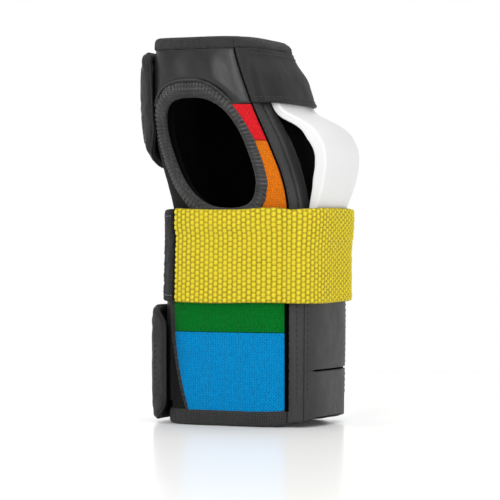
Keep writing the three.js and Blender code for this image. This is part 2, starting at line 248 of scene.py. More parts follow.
def settle(piece):
    """Applies the piece's modifiers to its mesh."""
    graph = bpy.context.evaluated_depsgraph_get()
    graph.update()
    old, piece.data = piece.data, bpy.data.meshes.new_from_object(piece.evaluated_get(graph))
    piece.modifiers.clear()
    bpy.data.meshes.remove(old)
    piece.data.name = piece.name
    lay_weave(piece)


def solid(inside, outside):
    """A closed sheet between two grids of points."""
    index = np.arange(inside[..., 0].size).reshape(inside.shape[:2])
    count = index.size
    quads = np.stack([index[:-1, :-1], index[:-1, 1:], index[1:, 1:], index[1:, :-1]], -1).reshape(-1, 4)
    faces = [quads + count, quads[:, ::-1]]
    for rim in (index[0], index[-1], index[:, 0], index[:, -1]):
        faces.append(np.stack([rim[:-1], rim[1:], rim[1:] + count, rim[:-1] + count], -1))
    return np.concatenate([inside.reshape(-1, 3), outside.reshape(-1, 3)]), np.concatenate(faces).tolist()


def hoop(sections, closed=True):
    """A band through closed sections, joined end to end or with its ends capped."""
    count, sides = sections.shape[:2]
    index = np.arange(count * sides).reshape(count, sides)
    here, there = (index, np.roll(index, -1, 0)) if closed else (index[:-1], index[1:])
    faces = np.stack([here, np.roll(here, -1, 1), np.roll(there, -1, 1), there], -1).reshape(-1, 4).tolist()
    if not closed:
        faces += [index[0, ::-1].tolist(), index[-1].tolist()]
    return sections.reshape(-1, 3), faces


def joined(meshes):
    """Several (points, faces) as one."""
    points, faces, base = [], [], 0
    for p, f in meshes:
        points.append(p)
        faces += [[i + base for i in face] for face in f]
        base += len(p)
    return np.concatenate(points), faces


def stops(length, step):
    """Distances along a side, fine near both ends where the edge rolls over."""
    near = [d for d in (0, 0.12, 0.4, 0.85, 1.5, 2.4) if d < length / 2]
    inner = max(int(round((length - 2 * near[-1]) / step)), 1)
    middle = np.linspace(near[-1], length - near[-1], inner + 1)
    return np.unique(np.concatenate([near, middle, length - np.array(near)]).round(5))


class Sheet:
    """A grid over the sleeve: heights low to high, angles a to b (each a number or a function)."""

    def __init__(self, low, high, a, b, step=1.6, step_z=None):
        middle = 30 if callable(low) else (low + call(high, 0)) / 2
        start, end = (float(arc(call(v, middle))) for v in (a, b))
        run = stops(end - start, step)
        tall = 60 if callable(low) else call(high, 0) - low
        rise = (stops(tall, step_z or step) / tall)[:, None]
        turns = angle(start + run)
        bottom, top = (np.array([call(f, t) for t in turns])[None, :] for f in (low, high))
        self.Z = bottom + (top - bottom) * rise
        if callable(a) or callable(b):
            first, last = (arc([call(f, z) for z in self.Z[:, 0]])[:, None] for f in (a, b))
            turns = angle(first + (last - first) * run / (end - start))
        self.T = np.broadcast_to(turns, self.Z.shape)
        self.side = np.broadcast_to(np.minimum(run, end - start - run), self.Z.shape)
        self.ends = np.minimum(self.Z - bottom, top - self.Z)
        self.edge = np.minimum(self.side, self.ends)

    def noise(self, scale, seed, upright=1.0):
        """Noise over the sheet, longer up the sleeve when upright is under 1."""
        return bump_noise(skin(self.Z, self.T, 0) * [1, 1, upright], scale, seed)

    def wrinkles(self, height, scale, seed, fade=6.0, upright=1.0):
        """Wrinkles that fade out over the last millimetres to the edge."""
        return height * self.noise(scale, seed, upright) * np.clip(self.edge / fade, 0, 1)

    def build(self, inner, outer):
        return solid(skin(self.Z, self.T, inner), skin(self.Z, self.T, outer))


def tube(path, radius, sides, normals):
    """A round tube along a path; normals point out of the cloth."""
    path = np.asarray(path, float)
    ahead = np.roll(path, -1, 0) - np.roll(path, 1, 0)
    ahead[0], ahead[-1] = path[1] - path[0], path[-1] - path[-2]
    ahead /= np.linalg.norm(ahead, axis=1)[:, None]
    across = np.cross(ahead, np.broadcast_to(normals, path.shape))
    across /= np.linalg.norm(across, axis=1)[:, None]
    up = np.cross(across, ahead)
    turn = np.linspace(0, 2 * np.pi, sides, endpoint=False)[None, :, None]
    radius = np.broadcast_to(radius, len(path))[:, None, None]
    return hoop(path[:, None] + radius * (np.cos(turn) * across[:, None] + np.sin(turn) * up[:, None]), False)


STITCH_PITCH, STITCH_LENGTH = 2.9, 2.1


def stitches(line, normals, radius=0.24, sink=0.05):
    """Short threads along a line of points, each dipping into the cloth at its ends."""
    run = lengths(line)
    count = int(run[-1] // STITCH_PITCH)
    steps = np.linspace(0, 1, 5)
    lift = radius * (1.6 * np.sin(np.pi * steps) - 0.7) - sink
    threads = []
    for k in range(count):
        at = (k + 0.5) * run[-1] / count + (steps - 0.5) * STITCH_LENGTH
        normal = along(at, run, normals)
        path = along(at, run, line) + normal * lift[:, None]
        threads.append(tube(path, radius * np.array([0.7, 1, 1.05, 1, 0.7]), 6, normal))
    return joined(threads)


# ---------------- materials
class Shader:
    """A node material built from small steps. Lengths in its patterns are millimetres of cloth."""

    def __init__(self, name, colour, roughness, **sockets):
        self.material = bpy.data.materials.new(name)
        self.material.use_nodes = True
        self.tree = self.material.node_tree
        self.tree.nodes.clear()
        self.bsdf = self.node("BsdfPrincipled")
        self.link(self.bsdf.outputs[0], self.node("OutputMaterial").inputs[0])
        self.bsdf.inputs["Base Color"].default_value = (*colour, 1)
        self.bsdf.inputs["Roughness"].default_value = roughness
        for key, value in sockets.items():
            self.bsdf.inputs[key.replace("_", " ")].default_value = value
        self.own = self.base = colour
        self.place = self.attribute("weave", "Vector")
        split = self.node("SeparateXYZ")
        self.link(self.place, split.inputs[0])
        self.run, self.rise = split.outputs[0], split.outputs[1]

    def node(self, kind, **settings):
        node = self.tree.nodes.new("ShaderNode" + kind)
        for key, value in settings.items():
            setattr(node, key, value)
        return node

    def link(self, source, socket):
        self.tree.links.new(source, socket)

    def attribute(self, name, output="Fac"):
        return self.node("Attribute", attribute_name=name).outputs[output]

    def put(self, socket, value):
        if isinstance(value, bpy.types.NodeSocket):
            self.link(value, socket)
        else:
            socket.default_value = value

    def math(self, op, *values):
        node = self.node("Math", operation=op)
        for socket, value in zip(node.inputs, values):
            self.put(socket, value)
        return node.outputs[0]

    def blend(self, first, share, second, other):
        """first * share + second * other."""
        return self.math("ADD", self.math("MULTIPLY", first, share), self.math("MULTIPLY", second, other))

    def wave(self, along, up):
        """sin of 2 pi (run / along + rise / up), from 0 to 1; a None period leaves that term out."""
        total = 0.0
        for value, period in ((self.run, along), (self.rise, up)):
            if period:
                total = self.math("ADD", self.math("MULTIPLY", value, 2 * math.pi / period), total)
        return self.math("MULTIPLY_ADD", self.math("SINE", total), 0.5, 0.5)

    def noise(self, size, detail, roughness, stretch=None):
        node = self.node("TexNoise")
        for key, value in (("Scale", 1 / size), ("Detail", detail), ("Roughness", roughness)):
            node.inputs[key].default_value = value
        vector = self.place
        if stretch:
            scaled = self.node("VectorMath", operation="MULTIPLY")
            scaled.inputs[1].default_value = stretch
            self.link(vector, scaled.inputs[0])
            vector = scaled.outputs[0]
        self.link(vector, node.inputs["Vector"])
        return node.outputs[0]

    def cells(self, size):
        node = self.node("TexVoronoi")
        node.inputs["Scale"].default_value = 1 / size
        self.link(self.place, node.inputs["Vector"])
        return node.outputs["Distance"]

    def span(self, value, low, high, to_low, to_high):
        node = self.node("MapRange")
        for key, v in (("Value", value), ("From Min", low), ("From Max", high),
                       ("To Min", to_low), ("To Max", to_high)):
            self.put(node.inputs[key], v)
        return node.outputs[0]

    def mix(self, share, first, second):
        node = self.node("Mix", data_type="RGBA")
        self.put(node.inputs["Factor"], share)
        colours = [s for s in node.inputs if s.type == "RGBA"]
        for socket, value in zip(colours, (first, second)):
            self.put(socket, value if isinstance(value, bpy.types.NodeSocket) else (*value, 1))
        return next(s for s in node.outputs if s.type == "RGBA")

    def tone(self, factor):
        return tuple(min(c * factor, 1) for c in self.own)

    def tint(self, value, low, high, share, factor):
        """Moves the colour towards a tone of the material's own where value is high."""
        self.base = self.mix(self.span(value, low, high, 0, share), self.base, self.tone(factor))
        return self

    def surface(self, roughness, *bumps):
        """The colour, the roughness and bumps of (pattern, millimetres, strength)."""
        self.put(self.bsdf.inputs["Base Color"], self.base)
        self.put(self.bsdf.inputs["Roughness"], roughness)
        normal = None
        for height, millimetres, strength in bumps:
            node = self.node("Bump")
            node.inputs["Strength"].default_value = strength
            node.inputs["Distance"].default_value = millimetres / 1000
            self.link(height, node.inputs["Height"])
            if normal:
                self.link(normal, node.inputs["Normal"])
            normal = node.outputs[0]
        self.link(normal, self.bsdf.inputs["Normal"])
        return self.material


def linear(r, g, b):
    return tuple(((v / 255 + 0.055) / 1.055) ** 2.4 if v > 10 else v / 255 / 12.92 for v in (r, g, b))


def canvas(name, colour):
    """Plain woven canvas: raised yarns in both directions, a fine diagonal and slubs."""
    s = Shader(name, colour, 0.88, Sheen_Weight=0.03, Sheen_Roughness=0.5, Specular_IOR_Level=0.06)
    yarn = s.math("MULTIPLY", s.math("MULTIPLY_ADD", s.wave(1.3, None), 0.6, 0.4),
                  s.math("MULTIPLY_ADD", s.wave(None, 1.3), 0.45, 0.55))
    slub = s.noise(1.5, 4, 0.75, (1.6, 0.7, 1))
    height = s.blend(yarn, 0.6, s.wave(2.1, 1.7), 0.4)
    s.base = s.tone(0.36)
    s.tint(s.blend(height, 0.5, slub, 0.85), 0.3, 1.0, 1, 1.46)
    s.tint(s.noise(16, 3, 0.55), 0.35, 0.7, 0.3, 0.86)
    return s.surface(s.span(slub, 0.3, 0.7, 0.8, 0.95), (height, 0.3, 1), (slub, 0.16, 0.8))


def leatherette(name, colour, grain, roughness, bump, shine=0.26):
    s = Shader(name, colour, roughness, Specular_IOR_Level=shine)
    pebble = s.math("SUBTRACT", 1.0, s.cells(grain))
    scuff = s.noise(3.5, 5, 0.75, (1, 0.5, 1))
    s.base = s.tone(0.8)
    s.tint(pebble, 0.3, 0.9, 1, 1.1).tint(s.noise(22, 3, 0.5), 0.35, 0.65, 0.5, 1.25)
    s.tint(scuff, 0.62, 0.8, 0.3, 1.7)
    return s.surface(s.math("ADD", s.span(scuff, 0.3, 0.8, -0.06, 0.12), roughness),
                     (pebble, bump, 0.8), (s.noise(0.5, 3, 0.6), 0.05, 0.6))


def knit(name, colour, fuzz, pitch=1.25, shine=0.12, comb=False):
    """Ribbed or fleecy knit. With comb, the attribute comb is 1 on the ridges and 0 between them, and the
    colour darkens towards 0: painted shade.
    """
    s = Shader(name, colour, 0.9, Sheen_Weight=shine * 0.7, Sheen_Roughness=0.45, Specular_IOR_Level=shine)
    loops = s.math("MULTIPLY", s.wave(pitch, None), s.wave(None, pitch * 0.8))
    fluff = s.noise(0.55, 4, 0.75)
    height = s.blend(loops, 0.6, s.wave(pitch * 1.6, pitch * 1.6), 0.25)
    s.base = s.tone(0.35)
    s.tint(s.blend(height, 0.7, fluff, 0.7), 0.3, 1.05, 1, 1.9).tint(s.noise(9, 3, 0.6), 0.4, 0.7, 0.4, 1.2)
    if comb:
        # painted shade: darker where comb is low
        s.base = s.mix(s.attribute("comb"), s.tone(0.22), s.base)
    return s.surface(s.span(fluff, 0.3, 0.7, 0.82, 0.98), (height, 0.2, 1), (fluff, fuzz, 1))


def webbing(name, colour):
    """Coarse webbing: the nubs are in the mesh, and the attribute nub is 1 on top and 0 between; the colour
    darkens where nub is low, painted shade between the nubs.
    """
    s = Shader(name, colour, 0.62, Sheen_Weight=0.03, Specular_IOR_Level=0.25)
    strand, fibre = s.wave(0.62, 0.5), s.noise(0.4, 3, 0.7, (1, 2.2, 1))
    s.base = s.tone(0.17)
    # painted shade: the dark base tone shows between the nubs, where nub is low
    s.tint(s.attribute("nub"), 0.08, 0.7, 1, 1).tint(fibre, 0.3, 0.75, 0.45, 0.72)
    s.tint(strand, 0.2, 1, 0.22, 1.15).tint(s.noise(14, 2, 0.5), 0.4, 0.7, 0.18, 0.8)
    return s.surface(s.span(fibre, 0.3, 0.7, 0.52, 0.75), (strand, 0.09, 1), (fibre, 0.06, 1))


def plastic(name, colour, roughness):
    s = Shader(name, colour, roughness, Specular_IOR_Level=0.5, Coat_Weight=0.25, Coat_Roughness=0.25)
    flow, scratch = s.noise(30, 3, 0.5, (1, 0.4, 1)), s.noise(2.4, 5, 0.8, (0.35, 2.5, 1))
    s.base = s.tone(0.97)
    s.tint(flow, 0.3, 0.7, 1, 1).tint(scratch, 0.64, 0.78, 0.18, 0.86)
    return s.surface(s.math("ADD", s.span(scratch, 0.4, 0.8, -0.04, 0.12), roughness),
                     (s.noise(0.7, 3, 0.6), 0.02, 0.6), (flow, 0.25, 0.25))


def tape(name, colour):
    """Hook or loop tape: a dense pile of short fibres in rows."""
    s = Shader(name, colour, 0.88, Sheen_Weight=0.08, Specular_IOR_Level=0.15)
    rows = s.math("MULTIPLY", s.wave(1.1, None), s.wave(None, 1.1))
    pile = s.cells(0.45)
    s.base = s.tone(1.8)
    s.tint(pile, 0.1, 0.7, 1, 0.6).tint(s.noise(2.2, 4, 0.8), 0.62, 0.75, 0.5, 3)
    return s.surface(s.span(pile, 0, 0.7, 0.7, 0.95), (pile, 0.3, 1), (rows, 0.2, 1))


def thread(name, colour):
    s = Shader(name, colour, 0.7, Sheen_Weight=0.2)
    ply = s.wave(0.35, 0.35)
    s.base = s.mix(ply, s.tone(0.6), s.tone(1.3))
    return s.surface(0.7, (ply, 0.06, 1))


LOOKS = {
    "leatherette_grey": (leatherette, (48, 48, 48), (0.8, 0.46, 0.07)),
    "crown_grey": (leatherette, (30, 30, 30), (0.55, 0.34, 0.04, 0.38)),
    # a darker copy of the grey leatherette for the flaps and the pocket: painted shade
    "pad_grey": (leatherette, (36, 36, 36), (0.8, 0.5, 0.07, 0.16)),
    "hem_grey": (knit, (54, 54, 54), (0.32,)),
    "binding_knit": (knit, (82, 82, 82), (0.24, 1.5, 0.12, True)),
    # black lining, also used as painted shade on the palm behind the splint and in the seam grooves
    "lining_black": (knit, (4, 4, 4), (0.2, 1.25, 0.015)),
    "lining_grey": (knit, (30, 30, 30), (0.2, 1.25, 0.05)),
    "canvas_red": (canvas, (196, 28, 36), ()),
    "canvas_orange": (canvas, (196, 102, 16), ()),
    "canvas_green": (canvas, (0, 100, 30), ()),
    "canvas_blue": (canvas, (0, 122, 180), ()),
    "webbing_yellow": (webbing, (230, 208, 38), ()),
    "splint_white": (plastic, (219, 219, 219), (0.34,)),
    "splint_black": (plastic, (20, 20, 22), (0.45,)),
    "tape_black": (tape, (12, 12, 13), ()),
    "thread_dark": (thread, (14, 14, 15), ()),
    "thread_grey": (thread, (96, 96, 100), ()),
}
MATERIALS = {name: kind(name, linear(*rgb), *rest) for name, (kind, rgb, rest) in LOOKS.items()}


# ---------------- seams and lifts
HEM, TOP, HEIGHT = 8.0, 197.4, 204.0
STRAP_LOW, STRAP_HIGH = 64.2, 114.4
BLUE_TOP, ORANGE_TOP, RED_TOP = 49.0, 149.0, 168.2
SLIT = 29.2
# heights of the three pairs of hook and loop patches, and the angles they span on the back
FOREARM_PATCH, WRIST_PATCH, HAND_PATCH = (13, 54), (68, 110), (142, 190)
PATCH_SPAN = (168.75, 191.25)


def seam(z):
    """The angle of the seam between the coloured bands and the palm."""
    t = np.interp(z, [0, 34, 63, 114, 125, 135, 149, 168, 189, 198],
                  [43, 44, 45, 43.5, 42.3, 42.8, 46.2, 52, 57.5, 60])
    return angle(arc(t) + 1.6)


# Above the strap the grey welt stops where the painted shade behind the splint begins.
def welt_edge(z):
    return np.interp(z, [0, 63, 114, 138, 150, 165, 198], [31, 32, 12, 9.5, 12, 22.5, 35])


def back_edge(z):
    return np.interp(z, [0, 8, 20, 38, 47, 64], [108, 111, 118.5, 129, 133, 135])


def tape_edge(z):
    """The back edge of the tape that binds the thumb-side forearm panel."""
    return np.interp(z, [0, 8, 20, 38, 47, 65], [108, 112.5, 122, 133, 142, 147])


def tape_stitch(z):
    return np.interp(z, [0, 8, 20, 38, 47, 65], [107, 110.5, 119, 130, 137, 140])


def welt_stitch(z):
    """The angle of the stitch line up the middle of the lower welt."""
    return np.interp(z, [7, 63], [37.5, 39.5])


def upper_stitch(z):
    return (seam(z) + welt_edge(z)) / 2


def cover_lift(t, z):
    return 0.4 + 4.7 * (1 - smooth(32, 48, wrapped(t)))


def pocket_lift(t, z):
    tall = smooth(148, 166, z) * (1 - 0.9 * smooth(181, 197, z))
    return 0.4 + 5.3 * tall * (1 - smooth(39, 50, wrapped(t)))


def strap_lift(t, z):
    palm = 6.6 + 1.9 * smooth(85, STRAP_HIGH, z)
    side = 1.1 + 1.4 * smooth(98, 106, z)
    back = 180 - wrapped(t)
    over_back = np.where(t > 180, 1 - smooth(4, 26, back), 1 - smooth(23, 42, back))
    return side + (palm - side) * (1 - smooth(40, 58, wrapped(t))) + (6.2 - side) * over_back


def back_lift(t, z):
    return 0.5 + 2.0 * (1 - smooth(18, 30, 180 - wrapped(t)))


def mirrored(side, inner, outer):
    """Angle functions from inner to outer on the thumb side (-1) or the little-finger side (1)."""
    first, last = (inner, outer)[::side]
    return lambda z: side * call(first, z), lambda z: side * call(last, z)


def panel(name, look, node, low, high, a, b, lift=0.0, thick=1.0, puff=0.5, radius=0.8, spread=5.0,
          wrinkle=0.0, scale=18, seed=1, under=0.6, step=1.6, groove=None):
    """A sewn panel: its edges are pulled down into the seams and its middle stands up."""
    g = Sheet(low, high, a, b, step)
    base = call(lift, g.T, g.Z)
    outer = base - under + 0.12 + (under + thick - 0.6) * roll(g.edge, radius)
    outer = outer + puff * swell(g.edge, spread) + g.wrinkles(wrinkle, scale, seed, 5, 0.45)
    if groove:
        outer = outer - 0.8 * bell(arc(g.T) - arc(groove(g.Z)), 0.7)
    return make(name, g.build(base - under, outer), look, node)


# ---------------- thumb hole
HOLE_X, HOLE_Z, HOLE_HALF, HOLE_TALL, HOLE_SLOPE, HOLE_POWER = -11.75, 143.0, 22.1, 28.9, 0.4, 2.6


def hole_loop(count):
    """The hole's outline: millimetres round and up the sleeve, outward directions, total length."""
    turn = np.linspace(0, 2 * np.pi, 720, endpoint=False)
    across = HOLE_HALF * power(np.cos(turn), 2 / HOLE_POWER)
    up = HOLE_TALL * power(np.sin(turn), 2 / HOLE_POWER)
    z = HOLE_Z + up
    centre, deep, _ = section(z)
    reach = (HOLE_X + across - up * HOLE_SLOPE - centre) / deep
    run = arc(-np.degrees(np.arccos(power(np.clip(reach, -0.985, 0.985), 2))))
    outline = np.stack([np.append(run, run[0]), np.append(z, z[0])], -1)
    at = lengths(outline)
    run, z = along(np.linspace(0, at[-1], count, endpoint=False), at, outline).T
    ahead_run, ahead_z = np.roll(run, -1) - np.roll(run, 1), np.roll(z, -1) - np.roll(z, 1)
    size = np.hypot(ahead_run, ahead_z)
    return run, z, ahead_z / size, -ahead_run / size, at[-1]


def rim(loop, grow, offset):
    """Points of the outline, grown over the cloth and moved out of it."""
    run, z, out_run, out_z, _ = loop
    return skin(z + grow * out_z, angle(run + grow * out_run), offset)


def from_hole(z, t):
    """Millimetres over the cloth from the thumb hole's rim."""
    run, height = hole_loop(120)[:2]
    return np.hypot(arc(t)[..., None] - run, z[..., None] - height).min(-1)


def hole_cutter(reach):
    loop = hole_loop(180)
    inner, outer = rim(loop, reach, -10.0), rim(loop, reach, 9.0)
    count = len(inner)
    points = np.concatenate([inner, outer, [[HOLE_X + SHIFT, -14, HOLE_Z], [HOLE_X + SHIFT, -43, HOLE_Z]]])
    faces = []
    for k in range(count):
        n = (k + 1) % count
        faces += [[k, n, count + n, count + k], [n, k, 2 * count], [count + k, count + n, 2 * count + 1]]
    return added("cutter", points, faces)


CUTTER, CORE_CUTTER = hole_cutter(3.6), hole_cutter(1.0)


def cut_hole(piece, cutter=CUTTER):
    cut = piece.modifiers.new("hole", "BOOLEAN")
    cut.operation, cut.solver, cut.object = "DIFFERENCE", "EXACT", cutter
    settle(piece)


# ---------------- sleeve
CORE_OUT, CORE_IN, CORE_STEP, CORE_RISE = -0.9, -6.3, 2.42, 3.0
rise = 2 + stops(HEIGHT - 4, CORE_RISE)
offset = np.repeat([CORE_OUT, CORE_IN], len(rise))
wall = skin(np.append(rise, rise[::-1]), angles_round(CORE_STEP)[1], offset)
sleeve_core = make("sleeve_core", hoop(wall), "lining_black",
                   "liner", "foam_core", "wrist_panel", "palm_panel_lower")
cut_hole(sleeve_core, CORE_CUTTER)

# the palm between the upper welts is black: painted shade behind the splint
panel("palm_panel_painted_shade", "lining_black", "palm_panel_upper", 112, 170, lambda z: -welt_edge(z) - 1,
      lambda z: welt_edge(z) + 1, thick=0.9, puff=0.4, wrinkle=0.25)
panel("dorsal_panel_forearm_skin", "lining_grey", "dorsal_panel_forearm", HEM - 2, 66,
      lambda z: back_edge(z) - 6, lambda z: 364 - back_edge(z), thick=0.7, puff=0.2, wrinkle=0.2)
cut_hole(panel("dorsal_panel_wrist_skin", "lining_grey", "dorsal_panel_wrist", 113, RED_TOP, 131, 262,
               thick=0.9, puff=0.4, wrinkle=0.3))
panel("dorsal_panel_hand_skin", "lining_grey", "dorsal_panel_hand", RED_TOP, TOP + 1, 131, 223,
      thick=0.9, puff=0.4, wrinkle=0.3)

SIDES = ((-1, "radial"), (1, "ulnar"))
# colour, low, high and the far edge on the thumb side and on the little-finger side
BANDS = [("blue", HEM - 0.6, BLUE_TOP, back_edge, back_edge),
         ("green", BLUE_TOP, STRAP_LOW + 2, back_edge, back_edge),
         ("orange", STRAP_HIGH - 2, ORANGE_TOP, 100.0, 130.0), ("red", ORANGE_TOP, RED_TOP, 100.0, 130.0)]
for colour, low, high, *far in BANDS:
    for (side, word), edge in zip(SIDES, far):
        piece = panel(f"{word}_{colour}_canvas", f"canvas_{colour}", f"{word}_panel_{colour}", low, high,
                      *mirrored(side, seam, edge), thick=0.9, puff=0.45, radius=0.5, spread=4,
                      wrinkle=0.22, scale=26, seed=4 + side)
        if low > STRAP_LOW and side < 0:
            cut_hole(piece)


# the crown, with soft upright folds
for (side, word), far in zip(SIDES, (139.0, 130.0)):
    g = Sheet(RED_TOP, TOP + 0.6, *mirrored(side, seam, far), 1.1)
    run = arc(g.T)
    drift = 3.0 * bump_noise(skin(g.Z, g.T, 0), 60, 17, 1)
    fold = np.sin((run + drift) / 4.6 + 0.4) * (0.6 + 0.4 * np.sin(run / 11.0 + 1.0))
    fold = (0.95 * fold + 0.2 * g.noise(26, 18)) * np.clip(g.edge / 8, 0, 1)
    outer = -0.48 + 1.1 * roll(g.edge, 1.0) + 0.9 * swell(g.edge, 6) + fold
    if side < 0:
        outer = 0.3 + (outer - 0.3) * smooth(8, 12, from_hole(g.Z, g.T))
    piece = make(f"{word}_crown_skin", g.build(-0.6, outer), "crown_grey", f"{word}_crown_panel")
    if side < 0:
        cut_hole(piece)


HEM_IN, HEM_STEP, HEM_SIDES = -6.6, 0.5, 40


def hem_ring(name, node, low, high, outer, square, droop=0.0):
    """A folded band round the sleeve's end, with a soft section, upright ribs and a fleecy face."""
    run, t = angles_round(HEM_STEP)
    a = np.linspace(0, 2 * np.pi, HEM_SIDES, endpoint=False)[None, :]
    u, v = power(np.cos(a), 2 / square), power(np.sin(a), 2 / square)
    z = (low + high) / 2 + (high - low) / 2 * v + 0 * t
    reach = outer(t, z)
    offset = (HEM_IN + reach) / 2 + (reach - HEM_IN) / 2 * u
    face, over = np.clip(u, 0, 1), np.clip(v, 0, 1)
    offset = offset - droop * (1 - smooth(44, 58, wrapped(t))) * face * over ** 1.5
    at = skin(z, t, 0)
    fleece = 0.2 * bump_noise(at, 1.7, 19, 2) + 0.1 * np.sin(run * 2 * np.pi / 1.8)
    join = bell(np.abs(run) - arc(seam(low + 4)), 0.6)
    offset = offset + face * (0.3 * bump_noise(at, 12, 9) + fleece - 0.9 * join)
    return make(name, hoop(skin(z, t, offset)), "hem_grey", node)


hem_ring("forearm_hem_band", "forearm_hem", 0.0, HEM + 0.4,
         lambda t, z: 1.4 + (cover_lift(t, z) - 1.6) * (1 - smooth(40, 50, wrapped(t))), 4.5)
hem_ring("hand_hem_band", "hand_hem", TOP, HEIGHT, lambda t, z: pocket_lift(t, z) * 0.9 + 1.1, 4.2, 2.6)


# ---------------- stitching
def on_piece(line, normals, targets):
    """Moves each point of a line onto the outermost of the pieces, along its normal."""
    graph = bpy.context.evaluated_depsgraph_get()
    trees = [BVHTree.FromObject(piece, graph) for piece in targets]
    moved = []
    for point, normal in zip(line, normals):
        start = Vector((point + normal * 16) / 1000)
        hits = [tree.ray_cast(start, Vector(-normal), 0.021) for tree in trees]
        hits = [hit for hit in hits if hit[0] is not None]
        moved.append(np.array(min(hits, key=lambda hit: hit[3])[0]) * 1000 if hits else point)
    return np.array(moved)


def even_line(line, step=0.8):
    """A line's points at even steps, and their shares of its length."""
    run = lengths(line)
    at = np.linspace(0, run[-1], max(int(run[-1] / step), 2) + 1)
    return along(at, run, line), at / run[-1]


def sew(name, lines, targets, body="sleeve", look="thread_dark", slot=None, **thread_size):
    """Rows of stitches along (heights, angles) lines, laid on the target pieces."""
    rows = []
    share = np.linspace(0, 1, 200)
    for zs, ts in lines:
        places = along(share, np.linspace(0, 1, len(zs)), np.stack([zs, arc(ts)], -1))
        _, at = even_line(skin(places[:, 0], angle(places[:, 1]), 0))
        z, run = along(at, share, places).T
        t = angle(run)
        line = skin(z, t, 0)
        normals = skin(z, t, 1.0) - line
        rows.append(stitches(on_piece(line, normals, targets), normals, **thread_size))
    return make(name, joined(rows), look, body=body, slot=slot)


def upright(edge, low, high, shift=0.0, side=1):
    """A line up the sleeve at an edge's angle, shifted by millimetres away from the palm."""
    z = np.linspace(low, high, 30)
    return z, side * angle(arc(call(edge, z) + 0 * z) + shift)


def level(z, a, b):
    return np.full(30, float(z)), np.linspace(a, b, 30)


# ---------------- thumb hole binding
# the ring's section: millimetres from the rim over the cloth, and out of the cloth
BINDING = np.array([
    (1.6, -2.4), (0.6, -1.6), (0.1, -0.5), (0.1, 0.5), (0.6, 1.4), (1.5, 2.05), (2.7, 2.35), (4.5, 2.3),
    (6.2, 1.95), (7.7, 1.4), (8.6, 0.6), (9.1, -0.2), (8.6, -0.7), (6.0, -0.9), (4.0, -1.5), (2.8, -2.4),
    (1.6, -2.4)])
BINDING_SIDES, BINDING_RIBS, PIPING_AT = 44, 96, 9.3

loop = hole_loop(420)
# the ring is narrower where it turns towards the palm
width = 1 - 0.26 * smooth(0.1, 0.9, loop[2])


def binding():
    """The padded knit ring, ribbed on its outer half."""
    at = lengths(BINDING)
    grow, offset = along(np.linspace(0, at[-1], BINDING_SIDES, endpoint=False), at, BINDING).T
    grow, offset = ((np.roll(v, -1) + 2 * v + np.roll(v, 1)) / 4 for v in (grow, offset))
    run = np.linspace(0, loop[4], len(width), endpoint=False)
    ribs = np.sin(run * 2 * np.pi / (loop[4] / BINDING_RIBS)) * (0.75 + 0.25 * np.sin(run / 9))
    soft = bump_noise(rim(loop, 4, 0), 14, 5)
    rings, comb = [], []
    for g, o in zip(grow, offset):
        shown = float(smooth(-1.5, 1.0, o))
        ribbed = 0.25 + 0.75 * float(smooth(3.0, 5.0, g))
        bulge = shown * (0.32 * ribs * ribbed + 0.25 * soft)
        rings.append(rim(loop, g * width + 0.3 * soft * shown, o + bulge))
        # comb drives painted shade: low between the ribs, on the inner half and where the ring turns under
        # the cloth
        comb.append(shown * (0.25 + 0.2 * soft + ribbed * (0.45 + 0.45 * ribs)))
    piece = make("thumb_hole_binding", hoop(np.stack(rings, 1)), "binding_knit", "thumb_binding")
    paint(piece, "comb", np.clip(np.stack(comb, 1), 0, 1))


binding()
over_crown = np.nonzero(loop[1] > RED_TOP - 4.2)[0]
gap = int(np.argmax(np.diff(over_crown, prepend=over_crown[-1] - len(width)) > 1))
order = np.roll(over_crown, -gap)
line, above = (rim(loop, PIPING_AT * width, up)[order] for up in (1.25, 2.25))
piping = make("thumb_hole_piping", tube(line, 0.6, 8, above - line), "binding_knit")
# the piping gets half of the ring's painted shade
paint(piping, "comb", np.full(len(piping.data.vertices), 0.5))

# short upright threads across the ring's outer edge: places over the cloth, and out of it
RING_STITCH = ((5.8, 2.175), (6.8, 1.896), (7.9, 1.108), (8.8, 0.5))
threads = []
for k in range(0, len(width), 5):
    at = [v[k:k + 1] for v in loop[:4]] + [0]
    path = [rim(at, grow * width[k], up)[0] for grow, up in RING_STITCH]
    threads.append(tube(path, 0.16, 6, (0.3, -0.9, 0.2)))
make("thumb_hole_stitches", joined(threads), "thread_dark", slot="binding_knit")

# bound back edge of the thumb-side forearm panel
g = Sheet(HEM - 1, STRAP_LOW + 1, lambda z: -tape_edge(z), lambda z: 1.6 - back_edge(z), 0.8)
outer = -0.4 + 2.0 * roll(g.edge, 1.5) + 0.12 * np.sin(g.Z * 2 * np.pi / 1.7) * roll(g.edge, 2)
edge_tape = make("radial_edge_tape", g.build(-0.6, outer), "hem_grey", "radial_edge_binding")


# ---------------- palm covers, pocket and welts
def slit_gap(t):
    """Half the slit's opening. It closes before the thumb side of the cover."""
    return 0.4 * smooth(-24, -18, t)


def cover(name, node, low, high):
    """One half of the palm cover, below or above the slit."""
    g = Sheet(low, high, lambda z: -welt_edge(z) - 0.4, lambda z: welt_edge(z) + 0.4, 1.2)
    lift = cover_lift(g.T, g.Z)
    free = high - g.Z if callable(low) else g.Z - low
    cut = np.abs(g.Z - SLIT) - slit_gap(g.T) + 3 * (1 - smooth(-24, -18, g.T))
    outer = lift + 1.2 * roll(np.minimum(np.minimum(g.side, free), cut), 0.6) + 0.35 * swell(g.side, 5)
    outer = outer + 0.35 * g.noise(30, 11, 0.5) * np.clip(g.side / 6, 0, 1)
    return make(name, g.build(lift - 0.2, outer), "leatherette_grey", node)


